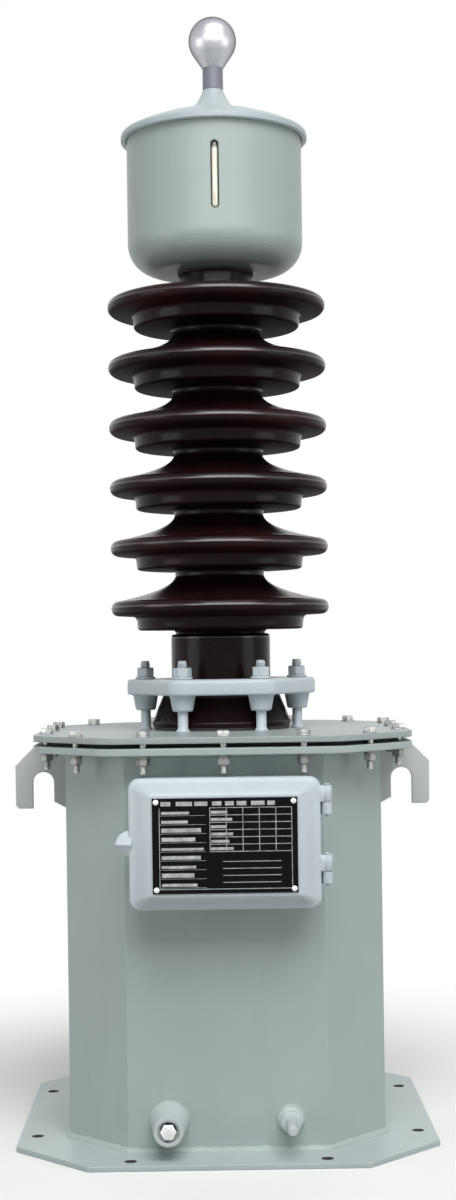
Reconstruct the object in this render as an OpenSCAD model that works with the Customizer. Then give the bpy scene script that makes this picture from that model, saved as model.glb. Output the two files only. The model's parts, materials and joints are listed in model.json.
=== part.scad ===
// Oil-immersed voltage transformer for outdoor lines, standing on its own base plate.
// Millimetres, +Z up, the terminal box faces -Y, origin under the middle of the base plate.

/* [Base plate] */
// Width and depth of the square base plate
base_w = 480; // [440:1:540]
// Length cut from each corner of the base plate, along both edges
base_chamfer = 86; // [60:1:110]
// Thickness of the base plate
base_t = 6; // [5:0.5:14]
// Diameter of the mounting holes
mount_hole_d = 14; // [10:0.5:18]
// From the plate's edge to the middle of a mounting hole
mount_inset = 20; // [16:0.5:26]
// Between the two mounting holes on one side
mount_pitch = 216; // [160:1:260]

/* [Tank] */
// Width and depth of the tank across its flat sides
tank_w = 364; // [340:1:390]
// Length cut from each corner of the tank
tank_chamfer = 70; // [50:1:80]
// Thickness of the tank's wall
tank_wall = 5; // [3:0.5:8]
// Height of the tank's wall above the base plate
tank_h = 452; // [430:1:480]

/* [Cover joint] */
// How far the flange and cover stand out past the tank's wall
flange_out = 36.5; // [30:0.5:42]
// Length cut from each corner of the flange and cover
flange_chamfer = 87; // [70:1:100]
// Rounding of the flange's and cover's corners
flange_round = 40; // [10:1:60]
// Thickness of the welded flange
flange_t = 8; // [6:0.5:12]
// Thickness of the cover's gasket
gasket_t = 5; // [3:0.5:8]
// How far the gasket's edge stays behind the cover's edge
gasket_inset = 20; // [16:0.5:24]
// Thickness of the cover plate
cover_t = 7; // [5:0.5:12]
// Diameter of the cover's bolt holes
cover_hole_d = 9; // [8:0.5:13]
// From the cover's edge to the middle of a bolt hole
cover_hole_inset = 13.5; // [11:0.5:16]
// Between neighbouring bolt holes on one side
cover_hole_pitch = 89; // [60:1:100]

/* [Lifting hooks] */
// Thickness of a hook's plate
hook_t = 8; // [6:0.5:14]
// How far a hook stands out from the tank's wall
hook_out = 69; // [60:0.5:75]
// Width of a hook's outer leg
hook_leg = 21; // [15:0.5:24]
// Width of the gap that the sling goes through
hook_gap = 25.5; // [20:0.5:28]
// From the flange down to the top of the gap
hook_gap_drop = 30; // [26:0.5:42]
// From the flange down to the end of the outer leg
hook_drop = 74; // [64:1:86]
// Length of the sloping corner on top of a hook
hook_slope = 22; // [10:0.5:24]

/* [Drain valve and earth terminal] */
// Height of both fittings above the ground
fitting_z = 40; // [36:0.5:60]
// Left of the middle, the drain valve's place
drain_x = 66; // [60:1:85]
// Diameter of the drain boss at the tank
drain_root_d = 43; // [36:0.5:48]
// Diameter of the drain boss at its end
drain_end_d = 33; // [28:0.5:35]
// Length of the drain boss
drain_l = 50; // [40:1:54]
// Diameter of the drain plug
drain_plug_d = 16; // [12:0.5:20]
// Depth of the round recess around the plug's head
drain_recess = 6; // [3:0.5:10]
// Right of the middle, the earth terminal's place
earth_x = 70; // [50:1:85]
// Diameter of the earth terminal's boss
earth_boss_d = 30; // [26:0.5:38]
// Length of the earth terminal's boss
earth_boss_l = 6; // [4:0.5:10]
// Diameter of the earth stud
earth_stud_d = 12; // [8:0.5:14]
// Free length of the earth stud in front of its nut
earth_free_l = 38; // [30:0.5:40]
// Height of the earth terminal's nut
earth_nut_h = 12; // [8:0.5:14]
// Width of the earth terminal's nut across its flats
earth_nut_af = 22; // [19:0.5:24]

/* [Terminal box] */
// Left of the tank's middle, the box's middle
box_x = 0; // [-10:0.5:10]
// From the flange's underside down to the box's middle
box_drop = 95; // [84:0.5:110]
// Width of the lid
lid_w = 209.5; // [195:0.5:220]
// Height of the lid
lid_h = 144; // [140:0.5:150]
// Rounding of the lid's corners
lid_round = 14; // [8:0.5:18]
// Depth of the box from the tank to its rim
box_depth = 45; // [40:0.5:55]
// How far the lid stands out past the box's walls
lid_over = 2; // [1:0.5:4]
// Thickness of the box's walls
box_wall = 6; // [4:0.5:7]
// Gap between the box's rim and the lid, where the seal sits
lid_gap = 5; // [4:0.5:6]
// Air left between the lid's seal and the box's rim
seal_air = 0.3; // [0.2:0.1:0.6]
// Thickness of the lid's edge
lid_edge = 8; // [6:0.5:12]
// How far the lid's raised panel stands out from its edge
panel_rise = 17; // [10:0.5:20]
// Width of the lid's raised panel
panel_w = 161; // [158:0.5:170]
// Height of the lid's raised panel
panel_h = 108; // [106:0.5:112]
// Thickness of the lid's raised panel
panel_wall = 4; // [3:0.5:6]
// Width of the nameplate
plate_w = 157; // [130:0.5:158]
// Height of the nameplate
plate_h = 103; // [90:0.5:106]
// Thickness of the nameplate
plate_t = 1.5; // [1:0.25:3]

/* [Lid hinge and latch] */
// From the lid's edge to the hinge's axis
hinge_off = 7; // [6.5:0.25:8]
// Radius of the hinge's knuckles
knuckle_r = 5.5; // [5:0.25:5.5]
// Diameter of the hinge pins
pin_d = 5; // [3:0.25:6]
// Running clearance around a hinge pin, on the radius
pin_clear = 0.05; // [0.02:0.01:0.1]
// Gap between the lid's knuckle and the box's knuckle under it
knuckle_gap = 0.5; // [0.3:0.1:1]
// Above the box's middle, the upper hinge's joint
upper_hinge_z = 43; // [38:0.5:48]
// Below the box's middle, the lower hinge's joint
lower_hinge_z = 32.5; // [24:0.5:44]
// Height of the lid's knuckles
lid_knuckle_h = 18; // [12:0.5:20]
// Height of the box's knuckles
box_knuckle_h = 13; // [10:0.5:18]
// Height of the latch ear where it leaves the lid
ear_h = 32; // [28:1:44]
// How far the latch ear stands out
ear_out = 15; // [14:0.5:20]
// Below the box's middle, the latch ear's middle
ear_drop = 0; // [-6:0.5:10]
// Diameter of the latch screw
latch_d = 6; // [4:0.5:7]
// Air around the latch screw in the box's ear
latch_air = 1; // [0.75:0.25:1.25]

/* [Inside the terminal box] */
// Width of the terminal board
board_w = 150; // [130:1:165]
// Height of the terminal board
board_h = 72; // [60:1:84]
// Thickness of the terminal board
board_t = 8; // [5:0.5:10]
// Above the box's middle, the board's middle
board_up = 12; // [8:0.5:16]
// Diameter of a terminal stud
stud_d = 8; // [5:0.5:10]
// Diameter of the collar at a terminal stud's foot
stud_collar_d = 16; // [12:0.5:20]
// Length of a terminal stud in front of the board
stud_l = 20; // [12:0.5:22]
// Between terminal studs in a row
stud_pitch_x = 46; // [36:1:50]
// Between the two rows of terminal studs
stud_pitch_z = 36; // [30:1:40]
// Length of the gland plate
gland_w = 90; // [60:1:120]
// Thickness of the gland plate
gland_t = 8; // [7:0.5:12]
// Diameter of the cable's hole in the gland plate
gland_hole_d = 22; // [16:0.5:24]

/* [Porcelain] */
// Number of sheds
shed_count = 6; // [4:1:7]
// Between neighbouring sheds
shed_pitch = 73; // [70:0.5:76]
// Radius of a shed at its rim
shed_r = 132; // [120:0.5:140]
// Radius of the core between sheds
core_r = 54; // [50:0.5:58]
// Radius of the plain neck above the clamp ring
neck_r = 60; // [56:0.5:62]
// Radius of the plain neck under the conservator
top_neck_r = 44; // [42:0.5:50]
// Radius of the bore through the porcelain
bore_r = 32; // [24:0.5:36]
// Height of the lowest shed's rim above the clamp ring
first_shed = 84; // [78:0.5:95]
// From the highest shed's rim to the porcelain's top
top_neck = 40; // [34:0.5:50]
// Height of the rise from the highest shed's rim to the plain neck
top_flare = 26; // [22:0.5:30]
// Radius of the rounded rim
rim_r = 9; // [7:0.5:13]
// Radius of the drip skirt under a shed
skirt_r = 100.5; // [94:0.5:106]
// From a shed's rim down to the end of its drip skirt
skirt_drop = 25; // [20:0.5:27]
// Height of the trumpet-shaped rise from a shed's rim to the core
flare_h = 40; // [30:0.5:42]
// Radius of the porcelain's shoulder under the clamp ring
shoulder_r = 72; // [70:0.5:73]
// Radius of the porcelain's foot
foot_r = 84; // [80:0.5:85]
// Height of the straight edge at the foot
foot_edge = 6; // [3:0.5:8]
// Thickness of the gasket under the foot
foot_gasket_t = 4; // [2:0.5:6]
// Thickness of the gasket on the porcelain's top
head_gasket_t = 3; // [2:0.5:6]

/* [Clamp ring] */
// Radius of the circle that the six studs stand on
clamp_pitch_r = 92; // [92:0.5:100]
// Radius of a lobe around a stud
lobe_r = 22; // [17:0.5:24]
// Thickness of the ring
ring_t = 18.5; // [12:0.5:22]
// From the cover up to the ring's underside
ring_up = 42.5; // [40:0.5:50]
// Air between the ring and the porcelain's neck
ring_air = 4; // [3:0.5:6]
// Thickness of the cushion between the ring and the shoulder
cushion_t = 4; // [3:0.5:6]
// Diameter of the clamp studs
clamp_d = 12; // [10:0.5:12]
// Air around a clamp stud in the ring, on the radius
clamp_air = 0.75; // [0.5:0.25:1]
// Diameter of a boss under the ring, at the ring
boss_d = 30; // [26:0.5:31]
// Diameter of a boss at its lower end
boss_end_d = 25; // [20:0.5:26]
// Height of a boss under the ring
boss_h = 19; // [12:0.5:22]
// Height of a clamp nut with its washer
clamp_nut_h = 14; // [11:0.5:16]
// Thickness of a clamp washer
clamp_washer_t = 3; // [2:0.5:4]
// Width of a clamp nut across its flats
clamp_nut_af = 19; // [18:0.5:22]
// Height of the studs' ends above the ring
clamp_end = 22; // [19:0.5:32]

/* [Conservator] */
// Radius of the conservator pot
pot_r = 106; // [98:0.5:112]
// Height of the pot up to its top edge
pot_h = 166; // [158:0.5:180]
// Rounding of the pot's lower corner
pot_round = 35; // [25:0.5:40]
// Thickness of the pot's wall
pot_wall = 3; // [2:0.5:5]
// Width of the oil gauge's slot
gauge_w = 9.5; // [8:0.5:14]
// Length of the oil gauge's slot
gauge_l = 79; // [66:0.5:82]
// From the pot's bottom to the slot's lower end
gauge_up = 55; // [48:0.5:60]
// How deep the gauge's glass sits behind the pot's face
gauge_sink = 1; // [0.5:0.25:1.5]
// How far the lid stands out past the pot
pot_lid_over = 7; // [5:0.5:10]
// How far the lid's rim hangs down over the pot
pot_lid_hang = 7; // [5:0.5:14]
// Thickness of the lid where it rests on the pot
pot_lid_t = 3; // [2:0.5:6]
// Air between the lid's rim and the pot
pot_lid_air = 1; // [0.5:0.25:2]
// Rise of the lid's top from its rim to the flared boss
dome_h = 24.5; // [12:0.5:26]

/* [Line terminal] */
// Radius of the flared boss on the lid, at its foot
flare_r = 40; // [32:0.5:46]
// Height of the flared boss above the dome
flare_up = 28.5; // [22:0.5:40]
// Radius of the terminal's stem
stem_r = 12.5; // [10:0.5:14]
// Length of the stem between the boss and the ball
stem_l = 26.5; // [22:0.5:36]
// Radius of the ball
ball_r = 29; // [25:0.5:33]
// From the ball's seam up to its middle
ball_up = 33.5; // [31:0.5:39]

/* [Hidden] */
$fn = 96;
tank_half = tank_w / 2;
tank_front = -tank_half;
flange_w = tank_w + 2 * flange_out;
flange_top = base_t + tank_h;
flange_bottom = flange_top - flange_t;
cover_bottom = flange_top + gasket_t;
cover_top = cover_bottom + cover_t;
cover_edge = flange_w / 2 - cover_hole_inset;
corner_hole = (flange_w - flange_chamfer) / 2 - cover_hole_inset * sqrt(0.5);
earth_core_d = earth_stud_d - 1.5;

box_z = flange_bottom - box_drop;
lid_left = -box_x - lid_w / 2;
lid_right = -box_x + lid_w / 2;
box_w = lid_w - 2 * lid_over;
box_h = lid_h - 2 * lid_over;
box_round = lid_round - lid_over;
box_rim = tank_front - box_depth;
box_floor = tank_front - box_wall;
lid_back = box_rim - lid_gap;
lid_face = lid_back - lid_edge;
panel_face = lid_face - panel_rise;
hinge_x = lid_right + hinge_off;
hinge_y = lid_back - 1;
upper_joint = box_z + upper_hinge_z;
lower_joint = box_z - lower_hinge_z;
ear_z = box_z - ear_drop;
latch_x = lid_left - ear_out / 2;
box_bottom = box_z - box_h / 2;
gland_y = (box_rim + box_floor) / 2;
gland_d = box_depth - 2 * box_wall - 6;
board_face = box_floor - board_t;

ring_bottom = cover_top + ring_up;
ring_top = ring_bottom + ring_t;
shoulder_z = ring_bottom - cushion_t;
foot_z = cover_top + foot_gasket_t;
first_rim = ring_top + first_shed;
last_rim = first_rim + (shed_count - 1) * shed_pitch;
porcelain_top = last_rim + top_neck;
pot_bottom = porcelain_top + head_gasket_t;
pot_top = pot_bottom + pot_h;
dome_top = pot_top + pot_lid_t + dome_h;
stem_bottom = dome_top + flare_up;
seam_z = stem_bottom + stem_l;
ball_z = seam_z + ball_up;

paint = [0.64, 0.69, 0.68];
dark_rubber = [0.1, 0.1, 0.1];
zinc = [0.78, 0.78, 0.76];
glaze = [0.16, 0.09, 0.08];

// A square with its four corners cut off, anticlockwise.
function cut_square(w, c) =
    let (h = w / 2, s = w / 2 - c)
    [[s, -h], [h, -s], [h, s], [s, h], [-s, h], [-h, s], [-h, -s], [-s, -h]];

function rectangle(w, h) = [[w, -h] / 2, [w, h] / 2, [-w, h] / 2, [-w, -h] / 2];

function arc(c, r, from, to, steps) =
    [for (k = [0 : steps]) let (a = from + (to - from) * k / steps) c + r * [cos(a), sin(a)]];

function unit(v) = v / norm(v);

// The arc that rounds corner b between its neighbours a and c.
function corner_arc(a, b, c, r, steps) =
    let (
        u = unit(a - b),
        v = unit(c - b),
        half = acos(u * v) / 2,
        o = b + unit(u + v) * r / sin(half),
        s = b + u * r / tan(half) - o,
        start = atan2(s.y, s.x)
    )
    arc(o, r, start, start + 180 - 2 * half, steps);

// A convex outline with every corner rounded.
function rounded(p, r, steps) =
    let (n = len(p))
    [for (i = [0 : n - 1]) each corner_arc(p[(i + n - 1) % n], p[i], p[(i + 1) % n], r, steps)];

function bezier(a, b, c, d, t) =
    pow(1 - t, 3) * a + 3 * t * pow(1 - t, 2) * b + 3 * t * t * (1 - t) * c + pow(t, 3) * d;

// Stands an outline in X and Z up, with its thickness running from y towards -Y.
module upright(y, t) {
    translate([0, y, 0])
        rotate([90, 0, 0])
            linear_extrude(t)
                children();
}

// A cylinder that points out of the tank's front, from y towards -Y.
module forward(x, y, z, l, d1, d2) {
    translate([x, y, z])
        rotate([90, 0, 0])
            cylinder(h = l, d1 = d1, d2 = d2);
}

module hexagon(af, h) {
    cylinder(h = h, d = af / cos(30), $fn = 6);
}

module at_mount_holes() {
    reach = base_w / 2 - mount_inset;
    for (side = [-1, 1])
        for (step = [-1, 1]) {
            translate([step * mount_pitch / 2, side * reach, 0])
                children();
            translate([side * reach, step * mount_pitch / 2, 0])
                children();
        }
}

module at_cover_holes() {
    for (turn = [0 : 90 : 270])
        rotate(turn) {
            for (step = [-1 : 1])
                translate([step * cover_hole_pitch, -cover_edge, 0])
                    children();
            translate([corner_hole, -corner_hole, 0])
                children();
        }
}

module flange_outline(inset) {
    side = flange_w - 2 * inset;
    polygon(rounded(cut_square(side, flange_chamfer - inset * (2 - sqrt(2))), flange_round - inset, 4));
}

module tank_outline(inset) {
    polygon(cut_square(tank_w - 2 * inset, tank_chamfer - inset * (2 - sqrt(2))));
}

module base_plate() {
    color(paint)
        difference() {
            linear_extrude(base_t)
                polygon(cut_square(base_w, base_chamfer));
            at_mount_holes()
                translate([0, 0, -1])
                    cylinder(h = base_t + 2, d = mount_hole_d);
        }
}

module tank_shell() {
    color(paint)
        translate([0, 0, base_t])
            linear_extrude(tank_h)
                difference() {
                    tank_outline(0);
                    tank_outline(tank_wall);
                }
}

module tank_flange() {
    color(paint)
        difference() {
            translate([0, 0, flange_bottom])
                linear_extrude(flange_t)
                    difference() {
                        flange_outline(0);
                        tank_outline(0);
                    }
            at_cover_holes()
                translate([0, 0, flange_bottom - 1])
                    cylinder(h = flange_t + 2, d = cover_hole_d);
        }
}

module cover_gasket() {
    color(dark_rubber)
        difference() {
            translate([0, 0, flange_top])
                linear_extrude(gasket_t)
                    difference() {
                        flange_outline(gasket_inset);
                        tank_outline(tank_wall);
                    }
            at_cover_holes()
                translate([0, 0, flange_top - 1])
                    cylinder(h = gasket_t + 2, d = cover_hole_d);
        }
}

module tank_cover() {
    color(paint)
        difference() {
            translate([0, 0, cover_bottom])
                linear_extrude(cover_t)
                    flange_outline(0);
            at_cover_holes()
                translate([0, 0, cover_bottom - 1])
                    cylinder(h = cover_t + 2, d = cover_hole_d);
            translate([0, 0, cover_bottom - 1])
                cylinder(h = cover_t + 2, r = bore_r);
        }
}

// The hook on the right, hanging from the flange against the tank's side.
module lifting_hook() {
    outer = tank_half + hook_out;
    gap_out = outer - hook_leg;
    gap_in = gap_out - hook_gap;
    gap_z = flange_bottom - hook_gap_drop - hook_gap / 2;
    leg_end = flange_bottom - hook_drop;
    difference() {
        upright(hook_t / 2, hook_t)
            polygon([
                [tank_half, flange_bottom],
                [outer - hook_slope, flange_bottom],
                [outer, flange_bottom - hook_slope],
                [outer, leg_end + 4],
                [outer - 4, leg_end],
                [gap_out, leg_end],
                [gap_in, leg_end + 8],
                [tank_half, leg_end - 4]
            ]);
        translate([(gap_in + gap_out) / 2, hook_t, gap_z])
            rotate([90, 0, 0])
                cylinder(h = 2 * hook_t, d = hook_gap);
        translate([gap_in, -hook_t, leg_end - 20])
            cube([hook_gap, 2 * hook_t, gap_z - leg_end + 20]);
    }
}

module right_lifting_hook() {
    color(paint)
        lifting_hook();
}

module left_lifting_hook() {
    color(paint)
        mirror([1, 0, 0])
            lifting_hook();
}

module drain_boss() {
    color(paint)
        difference() {
            forward(-drain_x, tank_front, fitting_z, drain_l, drain_root_d, drain_end_d);
            forward(-drain_x, tank_front - 8, fitting_z, drain_l, drain_plug_d, drain_plug_d);
            translate([0, -drain_l + drain_recess, 0])
                forward(-drain_x, tank_front, fitting_z, drain_l, drain_plug_d + 8, drain_plug_d + 8);
        }
}

module drain_plug() {
    color(zinc) {
        forward(-drain_x, tank_front - 8, fitting_z, drain_l - 8 - drain_recess, drain_plug_d, drain_plug_d);
        translate([-drain_x, tank_front - drain_l + drain_recess, fitting_z])
            rotate([90, 0, 0])
                hexagon(drain_plug_d - 2, drain_recess + 1);
    }
}

module earth_boss() {
    color(paint)
        forward(earth_x, tank_front, fitting_z, earth_boss_l, earth_boss_d, earth_boss_d - 4);
}

// The stud's root inside the nut is as wide as the thread's core; its free end has the full width.
module earth_stud() {
    nut_y = tank_front - earth_boss_l;
    color(zinc) {
        forward(earth_x, nut_y, fitting_z, earth_nut_h + 1, earth_core_d, earth_core_d);
        forward(earth_x, nut_y - earth_nut_h, fitting_z, earth_free_l, earth_stud_d, earth_stud_d);
    }
}

module earth_nut() {
    color(zinc)
        translate([earth_x, tank_front - earth_boss_l, fitting_z])
            rotate([90, 0, 0])
                difference() {
                    hexagon(earth_nut_af, earth_nut_h);
                    translate([0, 0, -1])
                        cylinder(h = earth_nut_h + 2, d = earth_core_d);
                }
}

// The box's outline, seen from the front, with its walls drawn in by inset.
module box_outline(inset) {
    translate([-box_x, box_z])
        polygon(rounded(rectangle(box_w - 2 * inset, box_h - 2 * inset), box_round - inset / 2, 5));
}

// Half of a latch ear's outline is above ear_z and half below, and its tip is blunt.
module ear_outline(root) {
    tip = lid_left - ear_out;
    polygon([
        [root + 4, ear_z + ear_h / 2],
        [root, ear_z + ear_h / 2],
        [tip, ear_z + 3],
        [tip, ear_z - 3],
        [root, ear_z - ear_h / 2],
        [root + 4, ear_z - ear_h / 2]
    ]);
}

module box_knuckle(z) {
    translate([hinge_x, hinge_y, z])
        cylinder(h = box_knuckle_h, r = knuckle_r);
    translate([hinge_x - knuckle_r, hinge_y, z])
        cube([knuckle_r, box_rim - hinge_y + 6, box_knuckle_h]);
    translate([lid_right - lid_over - 3, box_rim, z])
        cube([hinge_x - lid_right + lid_over + 3, 6, box_knuckle_h]);
}

module terminal_box() {
    color(paint)
        difference() {
            union() {
                upright(tank_front, box_depth)
                    box_outline(0);
                upright(box_rim + lid_edge, lid_edge)
                    ear_outline(lid_left + lid_over);
                box_knuckle(upper_joint - box_knuckle_h);
                box_knuckle(lower_joint - box_knuckle_h);
            }
            upright(box_floor, box_depth)
                box_outline(box_wall);
            translate([-box_x - gland_w / 2, gland_y - gland_d / 2, box_bottom - 1])
                cube([gland_w, gland_d, box_wall + 4]);
            forward(latch_x, box_rim + 20, ear_z, 40, latch_d + 2 * latch_air, latch_d + 2 * latch_air);
            for (z = [upper_joint, lower_joint])
                translate([hinge_x, hinge_y, z - box_knuckle_h - 1])
                    cylinder(h = box_knuckle_h + 2, d = pin_d);
        }
}

module gland_plate() {
    color(paint)
        difference() {
            translate([-box_x - gland_w / 2, gland_y - gland_d / 2, box_bottom])
                cube([gland_w, gland_d, gland_t]);
            translate([-box_x, gland_y, box_bottom - 1])
                cylinder(h = gland_t + 2, d = gland_hole_d);
        }
}

module terminal_board() {
    color([0.35, 0.2, 0.12])
        translate([-box_x - board_w / 2, board_face, box_z + board_up - board_h / 2])
            cube([board_w, board_t, board_h]);
}

module terminal_studs() {
    color([0.8, 0.62, 0.3])
        for (column = [-1 : 1])
            for (row = [-0.5, 0.5]) {
                x = column * stud_pitch_x - box_x;
                z = box_z + board_up + row * stud_pitch_z;
                forward(x, board_face, z, stud_l, stud_d, stud_d);
                forward(x, board_face, z, 6, stud_collar_d, stud_collar_d);
            }
}

module hinge_pin(joint) {
    color(zinc)
        translate([hinge_x, hinge_y, joint - box_knuckle_h])
            cylinder(h = box_knuckle_h + knuckle_gap + lid_knuckle_h, d = pin_d);
}

module upper_hinge_pin() {
    hinge_pin(upper_joint);
}

module lower_hinge_pin() {
    hinge_pin(lower_joint);
}

module lid_knuckle(z) {
    translate([hinge_x, hinge_y, z])
        cylinder(h = lid_knuckle_h, r = knuckle_r);
    translate([lid_right - 4, hinge_y - knuckle_r, z])
        cube([hinge_off + 4, knuckle_r, lid_knuckle_h]);
}

module box_lid() {
    pocket = lid_edge + panel_rise - panel_wall;
    color([0.68, 0.73, 0.73])
        difference() {
            union() {
                translate([-box_x, lid_back, box_z])
                    rotate([90, 0, 0])
                        linear_extrude(lid_edge)
                            polygon(rounded(rectangle(lid_w, lid_h), lid_round, 5));
                translate([-box_x, lid_face, box_z])
                    rotate([90, 0, 0])
                        hull() {
                            linear_extrude(0.01)
                                polygon(rounded(rectangle(lid_w - 4, lid_h - 4), lid_round - 2, 5));
                            translate([0, 0, panel_rise - 0.01])
                                linear_extrude(0.01)
                                    polygon(rectangle(panel_w, panel_h));
                        }
                upright(lid_back, lid_edge)
                    ear_outline(lid_left);
                lid_knuckle(upper_joint + knuckle_gap);
                lid_knuckle(lower_joint + knuckle_gap);
            }
            translate([-box_x - panel_w / 2 + 6, lid_back - pocket, box_z - panel_h / 2 + 6])
                cube([panel_w - 12, pocket + 1, panel_h - 12]);
            forward(latch_x, lid_back + 1, ear_z, lid_edge + 2, latch_d, latch_d);
            for (z = [upper_joint, lower_joint])
                translate([hinge_x, hinge_y, z])
                    cylinder(h = lid_knuckle_h + 2, d = pin_d + 2 * pin_clear);
        }
}

module lid_seal() {
    color(dark_rubber)
        upright(lid_back + lid_gap - seal_air, lid_gap - seal_air)
            difference() {
                box_outline(0.5);
                box_outline(box_wall);
            }
}

module nameplate() {
    color([0.08, 0.08, 0.09])
        translate([-box_x - plate_w / 2, panel_face - plate_t, box_z - plate_h / 2])
            cube([plate_w, plate_t, plate_h]);
}

module latch_screw() {
    color(zinc) {
        forward(latch_x, lid_back + lid_gap + 5, ear_z, lid_gap + 5 + lid_edge, latch_d, latch_d);
        forward(latch_x, lid_face, ear_z, 5, latch_d + 4, latch_d + 4);
    }
}

module foot_gasket() {
    color(dark_rubber)
        translate([0, 0, cover_top])
            difference() {
                cylinder(h = foot_gasket_t, r = foot_r - 2);
                translate([0, 0, -1])
                    cylinder(h = foot_gasket_t + 2, r = bore_r);
            }
}

// One shed's outline from the core under it to the point above it, about its rim's height.
function shed_outline(rim, above) =
    let (
        rim_c = [shed_r - rim_r, 1.5],
        rise = bezier_points(rim_c + [0, rim_r], above)
    )
    [for (p = concat(
        [[core_r, -skirt_drop - 5]],
        arc([core_r + 5, -skirt_drop - 5], 5, 180, 90, 3),
        arc([skirt_r - 4, -skirt_drop + 4], 4, -90, 0, 4),
        [[skirt_r + 1, -11], [skirt_r + 4, -8.5]],
        arc(rim_c, rim_r, -75, 90, 10),
        rise
    )) p + [0, rim]];

// The trumpet-shaped top of a shed, from its rim in to the core.
function bezier_points(out, core) =
    let (
        b = [out.x - 0.55 * (out.x - core.x), out.y + 8],
        c = [core.x + 3, core.y - 12]
    )
    [for (k = [1 : 9]) bezier(out, b, c, core, k / 9)];

module porcelain() {
    color(glaze)
        rotate_extrude()
            polygon(concat(
                [[bore_r, foot_z], [foot_r, foot_z], [foot_r, foot_z + foot_edge]],
                [[shoulder_r, shoulder_z], [neck_r, shoulder_z]],
                [[neck_r, first_rim - skirt_drop - 8]],
                [for (i = [0 : shed_count - 2]) each shed_outline(first_rim + i * shed_pitch, [core_r, flare_h])],
                shed_outline(last_rim, [top_neck_r, top_flare]),
                [[top_neck_r, porcelain_top], [bore_r, porcelain_top]]
            ));
}

module clamp_cushion() {
    color(dark_rubber)
        translate([0, 0, shoulder_z])
            difference() {
                cylinder(h = cushion_t, r = shoulder_r - 1);
                translate([0, 0, -1])
                    cylinder(h = cushion_t + 2, r = neck_r);
            }
}

module at_studs() {
    for (i = [1 : 6])
        rotate(60 * i - 90)
            translate([0, clamp_pitch_r, 0])
                children();
}

module clamp_ring() {
    lobes = [for (i = [0 : 5]) each let (a = 60 * i) arc(clamp_pitch_r * [cos(a), sin(a)], lobe_r, a - 30, a + 30, 8)];
    color(paint)
        difference() {
            union() {
                translate([0, 0, ring_bottom])
                    linear_extrude(ring_t)
                        polygon(lobes);
                at_studs() {
                    translate([0, 0, ring_bottom - boss_h])
                        cylinder(h = boss_h, d1 = boss_end_d, d2 = boss_d);
                    translate([0, 0, ring_bottom])
                        cylinder(h = ring_t / 2, d = boss_d);
                }
            }
            translate([0, 0, ring_bottom - 1])
                cylinder(h = ring_t + 2, r = neck_r + ring_air);
            at_studs()
                translate([0, 0, ring_bottom - boss_h - 1])
                    cylinder(h = ring_t + boss_h + 2, d = clamp_d + 2 * clamp_air);
        }
}

module clamp_stud(i) {
    color(paint)
        rotate(60 * i - 90)
            translate([0, clamp_pitch_r, 0]) {
                translate([0, 0, cover_top])
                    cylinder(h = ring_top + clamp_end - cover_top, d = clamp_d);
                translate([0, 0, ring_top])
                    cylinder(h = clamp_washer_t, d = clamp_nut_af + 5);
                translate([0, 0, ring_top + clamp_washer_t])
                    hexagon(clamp_nut_af, clamp_nut_h - clamp_washer_t);
            }
}

module head_gasket() {
    color(dark_rubber)
        translate([0, 0, porcelain_top])
            difference() {
                cylinder(h = head_gasket_t, r = top_neck_r + 2);
                translate([0, 0, -1])
                    cylinder(h = head_gasket_t + 2, r = bore_r);
            }
}

// The slot in the pot's front, as a bar with round ends.
module gauge_slot() {
    low = pot_bottom + gauge_up + gauge_w / 2;
    high = pot_bottom + gauge_up + gauge_l - gauge_w / 2;
    for (z = [low, high])
        forward(0, -pot_r + 20, z, 40, gauge_w, gauge_w);
    translate([-gauge_w / 2, -pot_r - 20, low])
        cube([gauge_w, 40, high - low]);
}

module conservator_pot() {
    inner = pot_r - pot_wall;
    bend = pot_round - pot_wall;
    floor_z = pot_bottom + pot_wall;
    color(paint)
        difference() {
            rotate_extrude()
                polygon(concat(
                    [[bore_r, pot_bottom]],
                    arc([pot_r - pot_round, pot_bottom + pot_round], pot_round, -90, 0, 12),
                    [[pot_r, pot_top], [inner, pot_top]],
                    arc([inner - bend, floor_z + bend], bend, 0, -90, 12),
                    [[bore_r, floor_z]]
                ));
            gauge_slot();
        }
}

module gauge_glass() {
    color([0.93, 0.9, 0.82])
        intersection() {
            gauge_slot();
            difference() {
                translate([0, 0, pot_bottom])
                    cylinder(h = pot_h, r = pot_r - gauge_sink);
                translate([0, 0, pot_bottom - 1])
                    cylinder(h = pot_h + 2, r = pot_r - pot_wall);
            }
        }
}

module conservator_lid() {
    rim = pot_r + pot_lid_over;
    skirt_in = pot_r + pot_lid_air;
    shoulder = pot_top + pot_lid_t;
    rise = [
        for (k = [1 : 6])
            bezier(
                [rim - 3, shoulder - 0.5],
                [rim - 22, shoulder + 0.4 * dome_h],
                [flare_r + 20, dome_top - 0.2 * dome_h],
                [flare_r, dome_top],
                k / 6
            )
    ];
    flare = [
        for (k = [1 : 9])
            bezier(
                [flare_r, dome_top],
                [0.65 * flare_r, dome_top + 0.035 * flare_up],
                [stem_r + 3.5, dome_top + 0.61 * flare_up],
                [stem_r, stem_bottom],
                k / 9
            )
    ];
    color(paint)
        rotate_extrude()
            polygon(concat(
                [[0, pot_top], [skirt_in, pot_top], [skirt_in, pot_top - pot_lid_hang]],
                [[rim - 1, pot_top - pot_lid_hang], [rim, pot_top - pot_lid_hang + 1]],
                arc([rim - 5, shoulder - 5], 5, 0, 65, 5),
                rise,
                flare,
                [[0, stem_bottom]]
            ));
}

module terminal_stem() {
    color(paint)
        translate([0, 0, stem_bottom])
            cylinder(h = stem_l, r = stem_r);
}

module terminal_ball() {
    color([0.85, 0.86, 0.88])
        rotate_extrude()
            polygon(concat(
                [[0, seam_z], [stem_r, seam_z]],
                arc([0, ball_z], ball_r, -36, 90, 24)
            ));
}

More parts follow.
